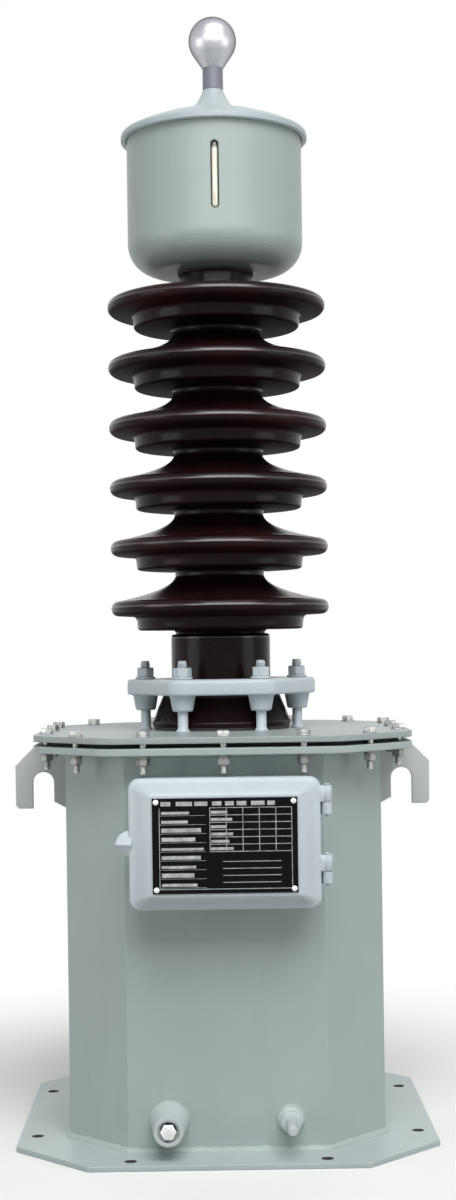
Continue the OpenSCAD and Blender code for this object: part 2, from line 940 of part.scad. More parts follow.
base_plate();
tank_shell();
tank_flange();
cover_gasket();
tank_cover();
left_lifting_hook();
right_lifting_hook();
drain_boss();
drain_plug();
earth_boss();
earth_stud();
earth_nut();
terminal_box();
gland_plate();
terminal_board();
terminal_studs();
upper_hinge_pin();
lower_hinge_pin();
box_lid();
lid_seal();
nameplate();
latch_screw();
foot_gasket();
porcelain();
clamp_cushion();
clamp_ring();
for (i = [1 : 6])
    clamp_stud(i);
head_gasket();
conservator_pot();
gauge_glass();
conservator_lid();
terminal_stem();
terminal_ball();
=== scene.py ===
import json
import math
import random

import bmesh
import bpy
from mathutils import Matrix, Vector


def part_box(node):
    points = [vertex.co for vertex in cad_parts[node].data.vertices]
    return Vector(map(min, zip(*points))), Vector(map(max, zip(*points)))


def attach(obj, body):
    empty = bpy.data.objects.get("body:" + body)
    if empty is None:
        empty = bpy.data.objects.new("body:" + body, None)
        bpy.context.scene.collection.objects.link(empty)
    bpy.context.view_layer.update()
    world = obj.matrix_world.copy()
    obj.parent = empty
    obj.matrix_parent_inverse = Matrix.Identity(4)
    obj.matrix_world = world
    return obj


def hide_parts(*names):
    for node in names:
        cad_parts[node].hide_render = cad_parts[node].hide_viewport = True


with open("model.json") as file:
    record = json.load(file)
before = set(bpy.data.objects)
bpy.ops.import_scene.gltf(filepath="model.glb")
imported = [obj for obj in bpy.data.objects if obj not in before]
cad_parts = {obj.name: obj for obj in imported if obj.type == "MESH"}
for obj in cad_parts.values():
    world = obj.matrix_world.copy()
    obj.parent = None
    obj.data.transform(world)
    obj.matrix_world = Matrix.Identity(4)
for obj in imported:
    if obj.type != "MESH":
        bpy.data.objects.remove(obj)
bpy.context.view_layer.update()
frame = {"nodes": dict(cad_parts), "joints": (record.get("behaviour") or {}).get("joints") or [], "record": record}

MM = 0.001
rng = random.Random(7)
scene = bpy.context.scene


def node_box(name):
    """A CAD node's lowest and highest corner, in millimetres."""
    low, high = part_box(name)
    return low / MM, high / MM


def node_middle(name):
    """The middle of a CAD node's box, in millimetres."""
    low, high = node_box(name)
    return (low + high) / 2


def turned(degrees, axis):
    """A turn about one of the axes."""
    return Matrix.Rotation(math.radians(degrees), 4, axis)


# Camera, at the photograph's place: in front, hardly to the left, about as high as the clamp ring.
DISTANCE = 2.25
EYE_HEIGHT = 0.569
SWING = -0.4
ROLL = -0.8
cam_data = bpy.data.cameras.new("camera")
cam_data.lens = 55.5
cam_data.sensor_width = 36
cam_data.shift_x = 0.0061
cam_data.shift_y = 0.039
camera = bpy.data.objects.new("camera", cam_data)
scene.collection.objects.link(camera)
camera.location = turned(SWING, "Z") @ Vector((0, -DISTANCE, EYE_HEIGHT))
camera.rotation_euler = (turned(SWING, "Z") @ turned(90, "X") @ turned(ROLL, "Z")).to_euler()
scene.camera = camera
scene.view_settings.view_transform = "Standard"


# Soft studio light: a broad lamp in front, a strip for gloss alone, weak sides, two behind without gloss.
def area(name, place, size, watts, aim=(0, 0, 0.6), diffuse=True, gloss=True):
    """A rectangular lamp aimed at a point, seen by dull surfaces, glossy ones or both."""
    data = bpy.data.lights.new(name, "AREA")
    data.shape = "RECTANGLE"
    data.size, data.size_y = size
    data.energy = watts
    lamp = bpy.data.objects.new(name, data)
    scene.collection.objects.link(lamp)
    lamp.location = place
    lamp.rotation_euler = (Vector(aim) - Vector(place)).to_track_quat("-Z", "Y").to_euler()
    lamp.visible_diffuse = diffuse
    lamp.visible_glossy = gloss


area("key", (0.6, -3.1, 4.3), (4.2, 3.2), 255)
area("strip", (0.3, -3.2, 1.9), (5.6, 0.8), 85, diffuse=False)
area("left", (-2.8, -1.2, 0.8), (1.6, 1.4), 20, aim=(0, 0, 0.2))
area("right", (2.8, -1.2, 0.8), (1.6, 1.4), 17, aim=(0, 0, 0.2))
area("back_left", (-1.4, 3.3, 1.5), (1.6, 1.6), 25, gloss=False)
area("back_right", (1.4, 3.3, 1.5), (1.6, 1.6), 25, gloss=False)


# The Mix node's sockets for colours, which share their names with its sockets for numbers.
MIX_FACTOR, MIX_A, MIX_B, MIX_RESULT = 0, 6, 7, 2


class Shader:
    """A material whose nodes are added by short calls, all in the object's own coordinates."""

    def __init__(self, name):
        self.mat = bpy.data.materials.new(name)
        self.mat.use_nodes = True
        self.tree = self.mat.node_tree
        self.nodes = self.tree.nodes
        self.bsdf = self.nodes["Principled BSDF"]
        self.coords = self.nodes.new("ShaderNodeTexCoord").outputs["Object"]

    def link(self, a, b):
        self.tree.links.new(a, b)

    def noise(self, scale, detail=4, rough=0.55, stretch=None):
        n = self.nodes.new("ShaderNodeTexNoise")
        n.inputs["Scale"].default_value = scale
        n.inputs["Detail"].default_value = detail
        n.inputs["Roughness"].default_value = rough
        if stretch:
            m = self.nodes.new("ShaderNodeMapping")
            m.inputs["Scale"].default_value = stretch
            self.link(self.coords, m.inputs["Vector"])
            self.link(m.outputs["Vector"], n.inputs["Vector"])
        else:
            self.link(self.coords, n.inputs["Vector"])
        return n.outputs["Fac"]

    def span(self, value, low, high, to_low=0.0, to_high=1.0, smooth=False):
        """The value's range from low to high brought to another range and held inside it."""
        r = self.nodes.new("ShaderNodeMapRange")
        r.clamp = True
        if smooth:
            r.interpolation_type = "SMOOTHSTEP"
        self.link(value, r.inputs["Value"])
        r.inputs["From Min"].default_value = low
        r.inputs["From Max"].default_value = high
        r.inputs["To Min"].default_value = to_low
        r.inputs["To Max"].default_value = to_high
        return r.outputs["Result"]

    def math(self, op, a, b):
        n = self.nodes.new("ShaderNodeMath")
        n.operation = op
        for socket, v in zip(n.inputs, (a, b)):
            if isinstance(v, (int, float)):
                socket.default_value = v
            else:
                self.link(v, socket)
        return n.outputs["Value"]

    def mix(self, fac, a, b):
        n = self.nodes.new("ShaderNodeMix")
        n.data_type = "RGBA"
        for socket, v in ((MIX_FACTOR, fac), (MIX_A, a), (MIX_B, b)):
            if isinstance(v, tuple):
                n.inputs[socket].default_value = (*v, 1)
            else:
                self.link(v, n.inputs[socket])
        return n.outputs[MIX_RESULT]

    def rounded(self, radius):
        """The surface's normal with its edges rounded off."""
        b = self.nodes.new("ShaderNodeBevel")
        b.samples = 6
        b.inputs["Radius"].default_value = radius
        return b.outputs["Normal"]

    def edges(self, soft, full=0.935):
        """0 on flat faces, 1 where the cosine between the rounded normal and the face's own is full."""
        g = self.nodes.new("ShaderNodeNewGeometry")
        d = self.nodes.new("ShaderNodeVectorMath")
        d.operation = "DOT_PRODUCT"
        self.link(soft, d.inputs[0])
        self.link(g.outputs["Normal"], d.inputs[1])
        return self.span(d.outputs["Value"], 1.0, full)

    def facing_up(self, low=0.6, high=0.95):
        """0 where the normal rises by low or less, 1 by high or more."""
        g = self.nodes.new("ShaderNodeNewGeometry")
        s = self.nodes.new("ShaderNodeSeparateXYZ")
        self.link(g.outputs["Normal"], s.inputs[0])
        return self.span(s.outputs["Z"], low, high)

    def height(self, low, high):
        """0 below one height, 1 above the other, in metres."""
        s = self.nodes.new("ShaderNodeSeparateXYZ")
        self.link(self.coords, s.inputs[0])
        return self.span(s.outputs["Z"], low, high)

    def bump(self, value, strength, depth, under=None):
        n = self.nodes.new("ShaderNodeBump")
        n.inputs["Strength"].default_value = strength
        n.inputs["Distance"].default_value = depth
        self.link(value, n.inputs["Height"])
        if under is not None:
            self.link(under, n.inputs["Normal"])
        return n.outputs["Normal"]

    def set(self, **sockets):
        """Sets or links the surface's inputs by their short names."""
        names = {"colour": "Base Color", "rough": "Roughness", "metal": "Metallic", "normal": "Normal",
                 "coat": "Coat Weight", "coat_rough": "Coat Roughness", "level": "Specular IOR Level",
                 "tint": "Specular Tint"}
        for k, v in sockets.items():
            socket = self.bsdf.inputs[names[k]]
            if isinstance(v, (int, float)):
                socket.default_value = v
            elif isinstance(v, tuple):
                socket.default_value = (*v, 1)
            else:
                self.link(v, socket)
        return self


def srgb(r, g, b):
    """A linear colour from display values of 0 to 255."""
    return tuple(c / 255 / 12.92 if c <= 10 else ((c / 255 + 0.055) / 1.055) ** 2.4 for c in (r, g, b))


def scaled(colour, k):
    return tuple(min(1.0, c * k) for c in colour)


def paint(name, colour, peel=0.5):
    """Semi-gloss enamel: faint clouds and runs, dust on top faces, thin paint on edges."""
    s = Shader(name)
    broad = s.noise(5, 3)
    fine = s.noise(160, 3)
    runs = s.noise(9, 4, stretch=(6, 6, 0.5))
    soft = s.rounded(0.0022)
    tone = s.mix(s.span(broad, 0.3, 0.7), scaled(colour, 0.94), scaled(colour, 1.04))
    tone = s.mix(s.span(runs, 0.52, 0.75, 0, 0.2), tone, scaled(colour, 0.8))
    dust = s.math("MULTIPLY", s.facing_up(), s.span(fine, 0.35, 0.7, 0.03, 0.2))
    tone = s.mix(dust, tone, srgb(200, 203, 201))
    worn = s.math("MULTIPLY", s.edges(soft), s.span(s.noise(55, 5), 0.42, 0.62, 0.0, 0.6))
    tone = s.mix(worn, tone, scaled(colour, 1.3))
    normal = s.bump(s.noise(420, 2), 0.1 * peel, 0.0006, under=soft)
    normal = s.bump(broad, 0.12, 0.004, under=normal)
    rough = s.span(s.math("ADD", fine, dust), 0.3, 1.0, 0.32, 0.5)
    return s.set(colour=tone, rough=rough, normal=normal, level=0.3).mat


def metal(name, colour, low, high, stretch=None, grime=0.5, edge=0.9, bump=0.05):
    """Bare metal with grain, cloudy tarnish and dirt along its edges."""
    s = Shader(name)
    grain = s.noise(220, 4, stretch=stretch)
    cloud = s.noise(40, 4)
    soft = s.rounded(0.0008)
    tone = s.mix(s.span(cloud, 0.35, 0.68), colour, scaled(colour, 0.8))
    dark = s.math("MULTIPLY", s.edges(soft), s.span(cloud, 0.4, 0.7, 0.0, grime))
    tone = s.mix(dark, tone, scaled(colour, 0.4))
    return s.set(colour=tone, metal=1.0, rough=s.span(grain, 0.3, 0.7, low, high), tint=(edge, edge, edge),
                 normal=s.bump(grain, bump, 0.0003, under=soft)).mat


def rubber(name):
    s = Shader(name)
    grain = s.noise(380, 4)
    soft = s.rounded(0.001)
    tone = s.mix(s.noise(40, 3), srgb(20, 20, 21), srgb(44, 44, 45))
    tone = s.mix(s.math("MULTIPLY", s.edges(soft), 0.5), tone, srgb(70, 70, 70))
    return s.set(colour=tone, rough=s.span(grain, 0.3, 0.7, 0.62, 0.85),
                 normal=s.bump(grain, 0.25, 0.0006, under=soft)).mat


def glaze(name):
    """Dark wine-brown porcelain glaze with fine specks: glossy where rain washes it, dull underneath."""
    s = Shader(name)
    cloud = s.noise(14, 4)
    speck = s.noise(230, 2)
    tone = s.mix(s.span(cloud, 0.35, 0.68), srgb(20, 9, 10), srgb(36, 15, 16))
    tone = s.mix(s.span(speck, 0.62, 0.75, 0, 0.35), tone, srgb(54, 26, 24))
    dust = s.math("MULTIPLY", s.facing_up(0.75, 1.0), s.span(s.noise(45, 5), 0.5, 0.8, 0, 0.06))
    tone = s.mix(dust, tone, srgb(110, 96, 94))
    washed = s.math("MULTIPLY", s.facing_up(0.02, 0.12), s.facing_up(0.4, 0.24))
    dull = s.facing_up(-0.3, -0.75)
    rough = s.math("ADD", s.span(speck, 0.3, 0.7, 0.16, 0.26), s.math("MULTIPLY", dull, 0.4))
    level = s.math("SUBTRACT", s.span(washed, 0, 1, 0.1, 0.7), s.math("MULTIPLY", dull, 0.07))
    return s.set(colour=tone, rough=rough, level=level, normal=s.bump(s.noise(30, 2), 0.1, 0.002)).mat


def plate_black(name):
    s = Shader(name)
    grain = s.noise(300, 3, stretch=(1, 1, 30))
    soft = s.rounded(0.0008)
    tone = s.mix(s.noise(18, 3), srgb(10, 10, 12), srgb(20, 20, 23))
    tone = s.mix(s.math("MULTIPLY", s.edges(soft), 0.7), tone, srgb(120, 122, 124))
    return s.set(colour=tone, rough=s.span(grain, 0.3, 0.7, 0.42, 0.56), level=0.04,
                 normal=s.bump(grain, 0.08, 0.0002, under=soft)).mat


def print_white(name):
    s = Shader(name)
    wear = s.noise(120, 5)
    tone = s.mix(s.span(wear, 0.35, 0.75), srgb(196, 198, 202), srgb(120, 122, 126))
    return s.set(colour=tone, rough=s.span(wear, 0.3, 0.7, 0.4, 0.6)).mat


def board_brown(name):
    s = Shader(name)
    weave = s.noise(120, 5, stretch=(1, 1, 6))
    tone = s.mix(weave, srgb(74, 44, 28), srgb(110, 68, 42))
    return s.set(colour=tone, rough=s.span(weave, 0.3, 0.7, 0.4, 0.6), normal=s.bump(weave, 0.15, 0.0004)).mat


def gauge_cream(name, shade_top):
    """A cream sight strip, painted dark above a height given in metres as the shadow under the slot's top."""
    s = Shader(name)
    tone = s.mix(s.noise(90, 3), srgb(236, 231, 216), srgb(214, 204, 178))
    # Painted shade: the strip turns dark above shade_top, as the shadow under the slot's top.
    tone = s.mix(s.height(shade_top, shade_top + 0.004), tone, srgb(38, 34, 30))
    rough = s.span(s.noise(200, 2), 0.3, 0.7, 0.1, 0.2)
    return s.set(colour=tone, rough=rough, coat=0.4, coat_rough=0.05).mat


m_paint = paint("grey_paint", srgb(168, 181, 179))
m_cast = paint("cast_paint", srgb(196, 206, 212), peel=1.6)
m_zinc = metal("zinc", (0.46, 0.46, 0.45), 0.3, 0.5)
# Painted shade: a darker copy of the zinc for the washers and nuts under the flange.
m_zinc_shaded_copy = metal("zinc_shaded_copy", (0.25, 0.25, 0.245), 0.4, 0.55)
m_bright = metal("bright_zinc", (0.82, 0.82, 0.81), 0.22, 0.4, grime=0.3)
m_steel = metal("polished_metal", (0.52, 0.53, 0.56), 0.3, 0.44,
                stretch=(1, 1, 9), grime=0.2, edge=0.12, bump=0.012)
m_stem = paint("stem_paint", srgb(126, 128, 138))
m_head = paint("head_paint", srgb(176, 188, 191))
# Painted light: the drain and earth bosses, the earth nut and stud take a lighter copy of the grey paint, for the
# pale highlights they show.
m_fitting_lit_copy = paint("fitting_paint_lit_copy", srgb(192, 201, 202))
# Painted shade: the pot and the cover take a darker copy of the grey paint, which tones down the light on the
# pot's front and the cover's top.
m_pot_shaded_copy = paint("pot_paint_shaded_copy", srgb(162, 175, 173))
m_cover_shaded_copy = paint("cover_paint_shaded_copy", srgb(158, 168, 168))
# Painted light: the base plate and the hooks take a lighter copy of the grey paint, which brightens them where the
# lamps fall short.
m_base_lit_copy = paint("base_paint_lit_copy", srgb(178, 191, 191))
m_hook_lit_copy = paint("hook_paint_lit_copy", srgb(191, 195, 193))
m_brass = metal("brass", (0.62, 0.42, 0.15), 0.25, 0.42)
# Painted shade: a dark metal that lines the mounting holes to darken them.
m_hole_shade = metal("hole_shade_dark", (0.09, 0.085, 0.08), 0.5, 0.7)
m_rubber = rubber("rubber")
m_glaze = glaze("brown_glaze")
m_plate = plate_black("plate_black")
m_print = print_white("print_white")
m_board = board_brown("board_brown")
# Painted shade: the strip is painted dark above this share of its height, as the slot's shadow.
PAINTED_SHADE_START = 0.87
gauge_low, gauge_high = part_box("gauge_glass")
m_gauge = gauge_cream("gauge_cream", gauge_low.z + PAINTED_SHADE_START * (gauge_high.z - gauge_low.z))

by_slot = {"grey_paint": m_paint, "rubber": m_rubber, "zinc": m_zinc, "board": m_board, "brass": m_brass,
           "plate": m_plate, "brown_glaze": m_glaze, "gauge": m_gauge, "polished_metal": m_steel}
# Each part's own paint; the pot, cover, base plate, hooks and fittings get lighter or darker copies of the grey
# paint as painted light and painted shade.
own_and_relit_paint = {"clamp_ring": m_cast, "terminal_box": m_cast, "terminal_stem": m_stem,
             "drain_boss": m_fitting_lit_copy, "earth_boss": m_fitting_lit_copy, "conservator_lid": m_head,
             "conservator_pot": m_pot_shaded_copy, "tank_cover": m_cover_shaded_copy, "base_plate": m_base_lit_copy,
             "left_lifting_hook": m_hook_lit_copy, "right_lifting_hook": m_hook_lit_copy}
for sub in frame["record"]["subparts"]:
    node = frame["nodes"][sub["node"]]
    node.data.materials.clear()
    node.data.materials.append(own_and_relit_paint.get(sub["node"]) or by_slot[sub["material_slot"]])


# Mesh building, in millimetres.
def circle(steps):
    """Directions all round, in radians."""
    return [2 * math.pi * i / steps for i in range(steps)]


def arc(x, z, r, start, end, steps):
    """Points on a circle about (x, z), with its angles in degrees."""
    turns = [math.radians(start + (end - start) * k / steps) for k in range(steps + 1)]
    return [(x + r * math.cos(a), z + r * math.sin(a)) for a in turns]


def bezier(a, b, c, d, steps):
    """Points of a cubic curve, without its first one."""
    return [tuple((1 - t) ** 3 * p + 3 * t * (1 - t) ** 2 * q + 3 * t * t * (1 - t) * r + t ** 3 * s
                  for p, q, r, s in zip(a, b, c, d))
            for t in (k / steps for k in range(1, steps + 1))]


def cut_square(half, cut):
    """Corners of a square with its four corners cut off, anticlockwise."""
    s = half - cut
    return [(s, -half), (half, -s), (half, s), (s, half), (-s, half), (-half, s), (-half, -s), (-s, -half)]


def rounded_rectangle(w, h, r, steps=6):
    """Points of a rounded rectangle about the origin, anticlockwise."""
    x, z = w / 2 - r, h / 2 - r
    return (arc(x, -z, r, -90, 0, steps) + arc(x, z, r, 0, 90, steps)
            + arc(-x, z, r, 90, 180, steps) + arc(-x, -z, r, 180, 270, steps))


def washer_profile(r, thick):
    """A washer's outer side with turned-off edges, for a lathe."""
    return [(r - 0.4, 0), (r, 0.3), (r, thick - 0.3), (r - 0.4, thick)]


def at(x, y, z):
    return Matrix.Translation((x, y, z))


def forward(x, y, z):
    """A place whose own +Z points out of the tank's front, along -Y."""
    return at(x, y, z) @ turned(90, "X")


class Mesh:
    """Collects points in millimetres and faces, and becomes one piece of the scene."""

    def __init__(self):
        self.points, self.faces, self.marks = [], [], []
        self.mark = 0

    def add(self, points, faces, place=Matrix()):
        first = len(self.points)
        self.points += [place @ Vector(p) for p in points]
        self.faces += [tuple(first + i for i in face) for face in faces]
        self.marks += [self.mark] * len(faces)

    def loft(self, rings, place=Matrix(), loop=False):
        """Joins rings of equally many points, with the ends closed, or end to end where it is a loop."""
        n, count = len(rings[0]), len(rings)
        faces = []
        for k in range(count if loop else count - 1):
            a, b = k * n, (k + 1) % count * n
            faces += [(a + i, a + (i + 1) % n, b + (i + 1) % n, b + i) for i in range(n)]
        if not loop:
            faces += [tuple(reversed(range(n))), tuple(range((count - 1) * n, count * n))]
        self.add([p for ring in rings for p in ring], faces, place)

    def lathe(self, profile, place=Matrix(), steps=32, loop=False):
        """Turns a profile of (radius, height) about its own Z."""
        turns = circle(steps)
        self.loft([[(r * math.cos(a), r * math.sin(a), z) for a in turns] for r, z in profile], place, loop)

    def hexagon(self, flats, h, place=Matrix(), steps=48):
        """A hexagon nut or bolt head with turned-off corners."""
        land = 0.47 * flats
        slope = math.tan(math.radians(28))
        turns = circle(steps)
        reach = [flats / 2 / math.cos(a % (math.pi / 3) - math.pi / 6) for a in turns]
        drop = [(r - land) * slope for r in reach]
        ring = [(math.cos(a), math.sin(a)) for a in turns]
        self.loft([
            [(land * x, land * y, 0) for x, y in ring],
            [(r * x, r * y, d) for (x, y), r, d in zip(ring, reach, drop)],
            [(r * x, r * y, h - d) for (x, y), r, d in zip(ring, reach, drop)],
            [(land * x, land * y, h) for x, y in ring],
        ], place)

    def thread(self, d, length, pitch, place=Matrix(), steps=24):
        """A threaded rod as a stack of ridges with a chamfered end."""
        crest = d / 2
        root = crest - 0.55 * pitch
        ridges = int(length / pitch) - 1
        profile = [(root, 0)]
        for k in range(ridges):
            profile += [(crest, (k + 0.5) * pitch), (root, (k + 1) * pitch)]
        self.lathe(profile + [(root, length - 0.5), (root - 0.6, length)], place, steps)

    def block(self, low, high, edge=0.5, place=Matrix()):
        """A box with chamfered edges all round."""
        (x0, y0, z0), (x1, y1, z1) = low, high

        def ring(y, inset):
            a, b, c, d = x0 + inset, x1 - inset, z0 + inset, z1 - inset
            return [(a + edge, y, c), (b - edge, y, c), (b, y, c + edge), (b, y, d - edge),
                    (b - edge, y, d), (a + edge, y, d), (a, y, d - edge), (a, y, c + edge)]

        self.loft([ring(y0, edge), ring(y0 + edge, 0), ring(y1 - edge, 0), ring(y1, edge)], place)

    def piece(self, name, body, slot, *materials, sharp=35, replaces=()):
        """Puts the mesh in the scene on a body, in place of the CAD nodes that it replaces."""
        data = bpy.data.meshes.new(name)
        data.from_pydata([p * MM for p in self.points], [], self.faces)
        for material in materials:
            data.materials.append(material)
        data.polygons.foreach_set("material_index", self.marks)
        clean = bmesh.new()
        clean.from_mesh(data)
        bmesh.ops.recalc_face_normals(clean, faces=clean.faces)
        clean.to_mesh(data)
        clean.free()
        data.shade_smooth()
        data.set_sharp_from_angle(angle=math.radians(sharp))
        obj = bpy.data.objects.new(name, data)
        scene.collection.objects.link(obj)
        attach(obj, body)
        if replaces:
            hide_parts(*replaces)


# Sizes that the details share with the CAD nodes, in millimetres.
BASE_TOP = node_box("base_plate")[1].z
TANK_HALF = node_box("tank_shell")[1].x
TANK_CUT = 70
FLANGE_LOW = node_box("tank_flange")[0].z
COVER_HALF = node_box("tank_cover")[1].x
COVER_TOP = node_box("tank_cover")[1].z
COVER_CUT = 87
RING_TOP = node_box("clamp_ring")[1].z
STUDS = [f"clamp_stud_{i}" for i in range(1, 7)]
HINGE_PINS = ("upper_hinge_pin", "lower_hinge_pin")
M8_PITCH = 1.25
M12_PITCH = 1.75


# Porcelain: the same sheds as the CAD node, with finer curves and a rolled glaze edge on each skirt.
def porcelain():
    count, pitch, shed_r, rim_r, rim_up, core_r, skirt_r = 6, 73, 132, 9, 1.5, 54, 100.5
    bore_r, foot_r, shoulder_r, neck_r, top_neck_r = 32, 84, 72, 60, 44
    skirt_drop, flare_h, top_flare = 25, 40, 26
    low, high = node_box("porcelain")
    shoulder = RING_TOP - 22.5
    first = RING_TOP + 84
    last = first + (count - 1) * pitch
    neck_top = first - skirt_drop - 9

    def shed(rim, above):
        """One shed's profile, from its skirt's root to the point above, both measured from the rim."""
        top = (shed_r - rim_r, rim_up + rim_r)
        under = arc(core_r + 5, -skirt_drop - 5, 5, 180, 90, 5)
        skirt = arc(skirt_r - 4, -skirt_drop + 4, 4, -90, 0, 6)
        step = bezier(skirt[-1], (skirt_r + 0.5, -13), (skirt_r + 1, -9), (skirt_r + 5, -8.3), 5)
        lip = arc(shed_r - rim_r, rim_up, rim_r, -75, 90, 18)
        leave = (top[0] - 0.55 * (top[0] - above[0]), top[1] + 8)
        arrive = (above[0] + 3, above[1] - 12)
        rise = bezier(top, leave, arrive, above, 20)
        return [(r, z + rim) for r, z in under + skirt + step + lip + rise]

    # The second ring at each neck's end keeps its shading straight.
    profile = [(bore_r, low.z), (foot_r - 1, low.z)] + arc(foot_r - 1, low.z + 5, 1, 0, 60, 3)
    profile += [(shoulder_r, shoulder), (neck_r, shoulder), (neck_r, neck_top - 2), (neck_r, neck_top)]
    profile += arc(core_r + 2, neck_top, 4, 0, 90, 4)[1:-1]
    for i in range(count):
        above = (core_r, flare_h) if i < count - 1 else (top_neck_r, top_flare)
        profile += shed(first + i * pitch, above)
    profile += [(top_neck_r, last + top_flare + 1), (top_neck_r, high.z), (bore_r, high.z)]
    mesh = Mesh()
    mesh.lathe(profile, steps=128, loop=True)
    mesh.piece("porcelain_glazed", "frame", "brown_glaze", m_glaze, sharp=50, replaces=["porcelain"])


# Clamp ring: a casting with six lobes, rounded edges and a tapered boss under each stud.
def clamp_ring():
    pitch_r, lobe_r, thick, bore_r, edge, top_edge = 92, 22, 18.5, 64, 2, 4.5
    boss_r, boss_end_r, boss_h, boss_round, boss_root, hole_r = 15, 12.5, 19, 3, 2, 6.8
    low = RING_TOP - thick
    turns = circle(180)
    flat = pitch_r * math.cos(math.radians(30)) + lobe_r
    tangent = math.atan2(lobe_r / 2, pitch_r + lobe_r * math.cos(math.radians(30)))

    def reach(a):
        """The outline's radius in direction a: round at a lobe, straight between two."""
        off = abs((a + math.pi / 6) % (math.pi / 3) - math.pi / 6)
        if off < tangent:
            return pitch_r * math.cos(off) + math.sqrt(lobe_r ** 2 - (pitch_r * math.sin(off)) ** 2)
        return flat / math.cos(math.pi / 6 - off)

    def outer(inset, z):
        return [((reach(a) - inset) * math.cos(a), (reach(a) - inset) * math.sin(a), z) for a in turns]

    def inner(r, z):
        return [(r * math.cos(a), r * math.sin(a), z) for a in turns]

    lower = [outer(edge - x, low + edge - y) for x, y in reversed(arc(0, 0, edge, 0, 90, 4))]
    upper = [outer(top_edge - x, RING_TOP - top_edge + y) for x, y in arc(0, 0, top_edge, 0, 90, 6)]
    bore = [inner(bore_r + 1, RING_TOP), inner(bore_r, RING_TOP - 1)]
    mesh = Mesh()
    mesh.loft([inner(bore_r, low)] + lower + upper + bore, loop=True)
    boss = [(hole_r, -boss_h)] + arc(boss_end_r - boss_round, boss_round - boss_h, boss_round, -90, 0, 5)
    boss += [(boss_r, -boss_root), (boss_r + boss_root, 0), (boss_r + boss_root, 1)]
    for name in STUDS:
        stud = node_middle(name)
        mesh.lathe(boss, at(stud.x, stud.y, low), steps=40)
    mesh.piece("clamp_ring_cast", "frame", "grey_paint", m_cast, replaces=["clamp_ring"])


# Clamp studs: a painted rod with a washer, a nut and a threaded end above the ring.
def clamp_studs():
    rod_d, foot_r, washer_r, washer_bore_r, washer_t, nut_flats, nut_h = 12, 9, 12, 7, 3, 19, 11
    nut = RING_TOP + washer_t
    thread_low = nut + nut_h - 2
    rod = [(foot_r, COVER_TOP), (foot_r - 2, COVER_TOP + 2), (rod_d / 2, COVER_TOP + 4), (rod_d / 2, nut)]
    washer = [(washer_r - 1.5, RING_TOP), (washer_r, RING_TOP + 0.4), (washer_r, nut - 0.5),
              (washer_r - 0.6, nut), (washer_bore_r, nut)]
    for name in STUDS:
        stud = node_middle(name)
        thread_top = node_box(name)[1].z
        place = at(stud.x, stud.y, 0) @ Matrix.Rotation(rng.uniform(0, 1), 4, "Z")
        mesh = Mesh()
        mesh.lathe(rod, place)
        mesh.lathe(washer, place)
        mesh.hexagon(nut_flats, nut_h, place @ at(0, 0, nut))
        mesh.thread(rod_d, thread_top - thread_low, M12_PITCH, place @ at(0, 0, thread_low))
        mesh.piece(name + "_turned", "frame", "grey_paint", m_cast, replaces=[name])


# Cover bolts: heads and washers on the cover; washers and nuts under the flange in a darker copy of the zinc, as
# painted shade under the flange; thread ends.
def cover_bolts():
    inset, pitch, flats, head_h, nut_h, thread_d, tail = 13.5, 89, 13, 5.3, 7.5, 8, 10
    washer_r, washer_t, spring_r, spring_t = 8, 1.6, 6.4, 2.2
    # Index 1 is the darker copy of the zinc: painted shade on the washers, springs and nuts under the flange.
    bright, dull = 0, 1
    edge = COVER_HALF - inset
    corner = COVER_HALF - COVER_CUT / 2 - inset * math.sqrt(0.5)
    spring_low = FLANGE_LOW - washer_t - spring_t
    nut_low = spring_low - nut_h
    washer = washer_profile(washer_r, washer_t)
    shank = [(thread_d / 2, FLANGE_LOW - 1), (thread_d / 2, COVER_TOP + 1)]
    spring = [(spring_r - 0.3, spring_low), (spring_r, spring_low + 0.3), (spring_r, spring_low + spring_t)]
    mesh = Mesh()
    for turn in range(4):
        for x, y in [(-pitch, -edge), (0, -edge), (pitch, -edge), (corner, -corner)]:
            place = turned(90 * turn, "Z") @ at(x, y, 0)
            twist = place @ Matrix.Rotation(rng.uniform(0, math.pi / 3), 4, "Z")
            mesh.mark = bright
            mesh.lathe(washer, place @ at(0, 0, COVER_TOP))
            mesh.hexagon(flats, head_h, twist @ at(0, 0, COVER_TOP + washer_t))
            mesh.lathe(shank, place)
            mesh.thread(thread_d, tail + 2, M8_PITCH, place @ at(0, 0, nut_low + 2) @ turned(180, "X"))
            mesh.mark = dull
            mesh.lathe(washer, place @ at(0, 0, FLANGE_LOW - washer_t))
            mesh.lathe(spring, place)
            mesh.hexagon(flats, nut_h, twist @ at(0, 0, nut_low))
    mesh.piece("cover_bolts", "frame", "zinc", m_zinc, m_zinc_shaded_copy)


